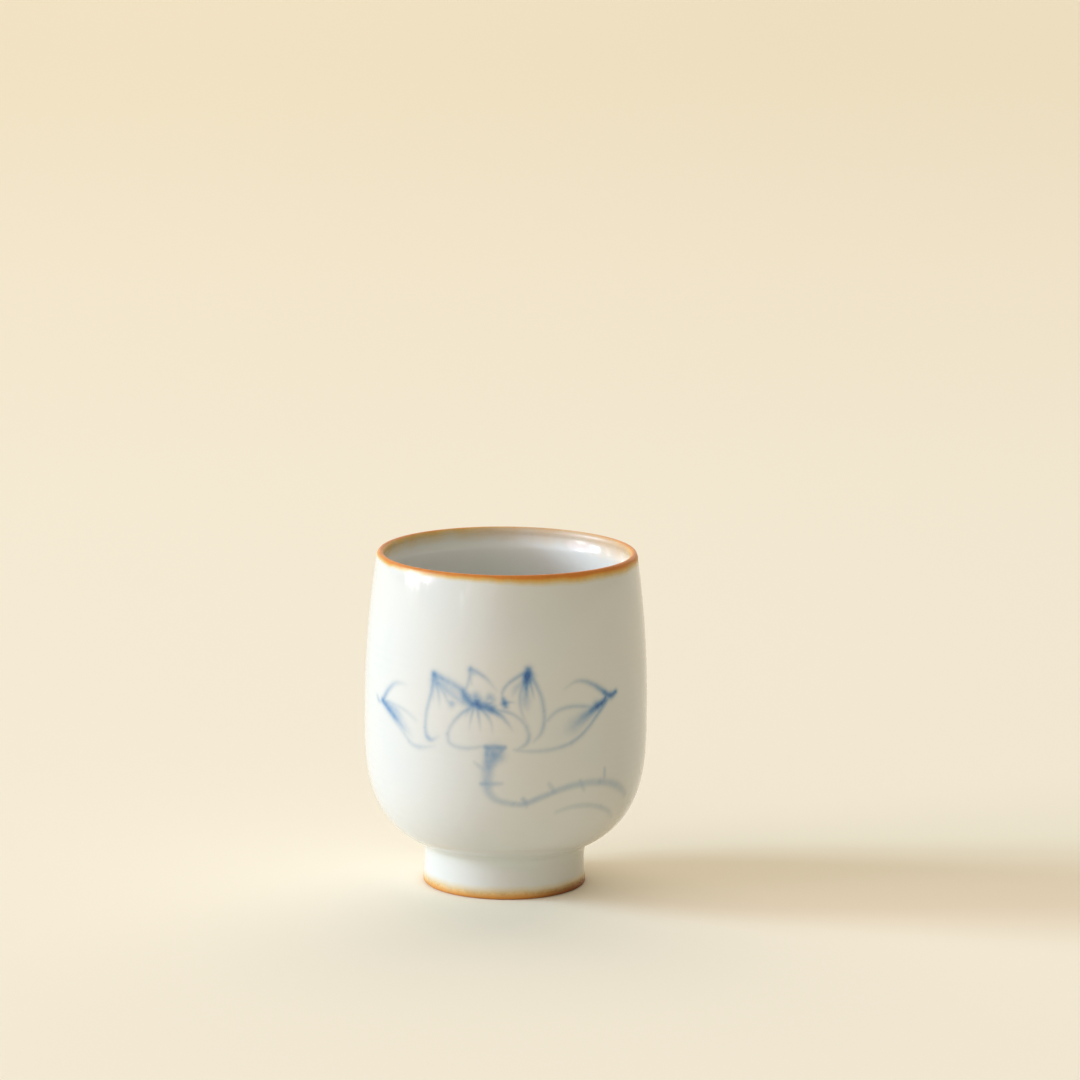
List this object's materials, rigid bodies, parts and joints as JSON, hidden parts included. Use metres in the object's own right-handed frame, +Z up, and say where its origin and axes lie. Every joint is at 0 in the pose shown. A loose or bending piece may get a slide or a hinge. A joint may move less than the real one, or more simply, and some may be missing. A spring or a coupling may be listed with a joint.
{
  "type": "footed teacup",
  "caption": "Tall round-hipped teacup on a turned foot ring, with a slightly drawn-in lip and brown-edged rim and foot.",
  "frame": {"origin": "centre of the flat ring that the cup stands on", "axes": "+Z up along the axis that the cup was turned on, -Y towards the painted front"},
  "size_m": [0.067, 0.067, 0.08],
  "materials": {
    "white_glaze": "glossy, faintly bluish white porcelain glaze",
    "iron_glaze": "satin, thin iron-brown glaze",
    "iron_clay": "matt, unglazed iron-brown clay",
    "glazed_slip": "glossy, pooled glaze over slip"
  },
  "bodies": {
    "root": {"bowl": "white_glaze", "rim_band": "iron_glaze", "foot_ring": "white_glaze", "foot_band": "iron_clay", "outer_slip_fillet": "glazed_slip", "inner_slip_fillet": "glazed_slip"}
  },
  "joints": []
}
